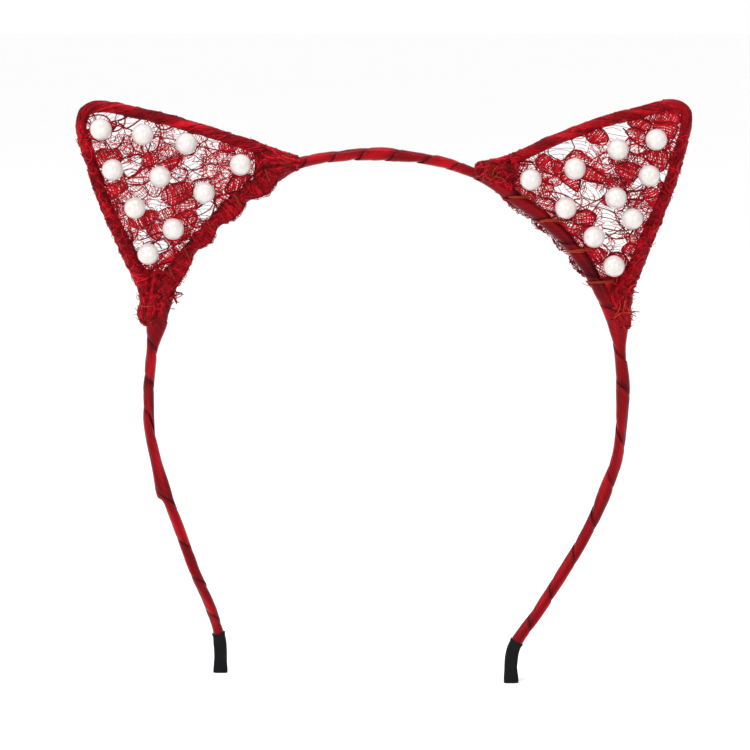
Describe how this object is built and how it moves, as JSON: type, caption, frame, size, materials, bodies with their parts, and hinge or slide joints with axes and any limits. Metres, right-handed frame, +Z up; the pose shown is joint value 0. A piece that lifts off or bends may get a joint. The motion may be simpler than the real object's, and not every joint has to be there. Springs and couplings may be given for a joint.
{
  "type": "animal ears headband",
  "caption": "Cat-ear headband: a sprung wire band wound in red satin ribbon, with two see-through lace ears sewn to it, pearls on the lace and black sleeves on the band ends.",
  "frame": {"origin": "under the middle of the crown, where the band rests on the top of the head", "axes": "+X along the crown from the ear called left to the ear called right, as seen from the pearl side; +Z up, out of the head; -Y is the front, the side with the pearls"},
  "size_m": [0.1696, 0.0156, 0.1628],
  "materials": {
    "spring_steel": "plain drawn spring wire, hidden under the ribbon and the lace",
    "satin_ribbon": "dark red polyester satin ribbon, wound on a slant with each turn over the last",
    "lace": "dark red corded lace: fine net, hatched leaf motifs and heavier outline cords",
    "imitation_pearl": "soft white pearl lacquer with a faint pink sheen",
    "sewing_thread": "orange-brown sewing thread, several strands side by side",
    "fine_thread": "fine dark red thread that holds the pearls",
    "black_sleeve": "matte black shrunk sleeve"
  },
  "bodies": {
    "crown": {"band_wire_crown": "spring_steel", "ribbon_wrap_crown": "satin_ribbon", "ribbon_wrap_left_ear_base": "satin_ribbon", "ribbon_wrap_right_ear_base": "satin_ribbon", "left_ear_wire": "spring_steel", "left_ear_top_rim": "lace", "left_ear_outer_rim": "lace", "left_ear_lace_panel": "lace", "left_ear_lace_hem": "lace", "left_inner_foot_gather": "lace", "left_inner_foot_lashing": "sewing_thread", "left_outer_foot_gather": "lace", "left_outer_foot_lashing": "sewing_thread", "left_base_lashing_1": "sewing_thread", "left_base_lashing_2": "sewing_thread", "left_base_lashing_3": "sewing_thread", "left_pearl_01": "imitation_pearl", "left_pearl_02": "imitation_pearl", "left_pearl_03": "imitation_pearl", "left_pearl_04": "imitation_pearl", "left_pearl_05": "imitation_pearl", "left_pearl_06": "imitation_pearl", "left_pearl_07": "imitation_pearl", "left_pearl_08": "imitation_pearl", "left_pearl_09": "imitation_pearl", "left_pearl_10": "imitation_pearl", "left_pearl_thread": "fine_thread", "right_ear_wire": "spring_steel", "right_ear_top_rim": "lace", "right_ear_outer_rim": "lace", "right_ear_lace_panel": "lace", "right_ear_lace_hem": "lace", "right_inner_foot_gather": "lace", "right_inner_foot_lashing": "sewing_thread", "right_outer_foot_gather": "lace", "right_outer_foot_lashing": "sewing_thread", "right_base_lashing_1": "sewing_thread", "right_base_lashing_2": "sewing_thread", "right_base_lashing_3": "sewing_thread", "right_pearl_01": "imitation_pearl", "right_pearl_02": "imitation_pearl", "right_pearl_03": "imitation_pearl", "right_pearl_04": "imitation_pearl", "right_pearl_05": "imitation_pearl", "right_pearl_06": "imitation_pearl", "right_pearl_07": "imitation_pearl", "right_pearl_08": "imitation_pearl", "right_pearl_09": "imitation_pearl", "right_pearl_10": "imitation_pearl", "right_pearl_thread": "fine_thread"},
    "left_leg": {"band_wire_left_leg": "spring_steel", "ribbon_wrap_left_leg": "satin_ribbon", "left_end_cap": "black_sleeve"},
    "right_leg": {"band_wire_right_leg": "spring_steel", "ribbon_wrap_right_leg": "satin_ribbon", "right_end_cap": "black_sleeve"}
  },
  "joints": [
    {"name": "left_leg_flex", "type": "hinge", "parent": "crown", "child": "left_leg", "pos_m": [-0.0654, 0, -0.052], "axis": [0, 1, 0], "range_deg": [-8, 15], "stiffness_Nm_per_rad": 0.5},
    {"name": "right_leg_flex", "type": "hinge", "parent": "crown", "child": "right_leg", "pos_m": [0.0649, 0, -0.052], "axis": [0, -1, 0], "range_deg": [-8, 15], "stiffness_Nm_per_rad": 0.5}
  ]
}
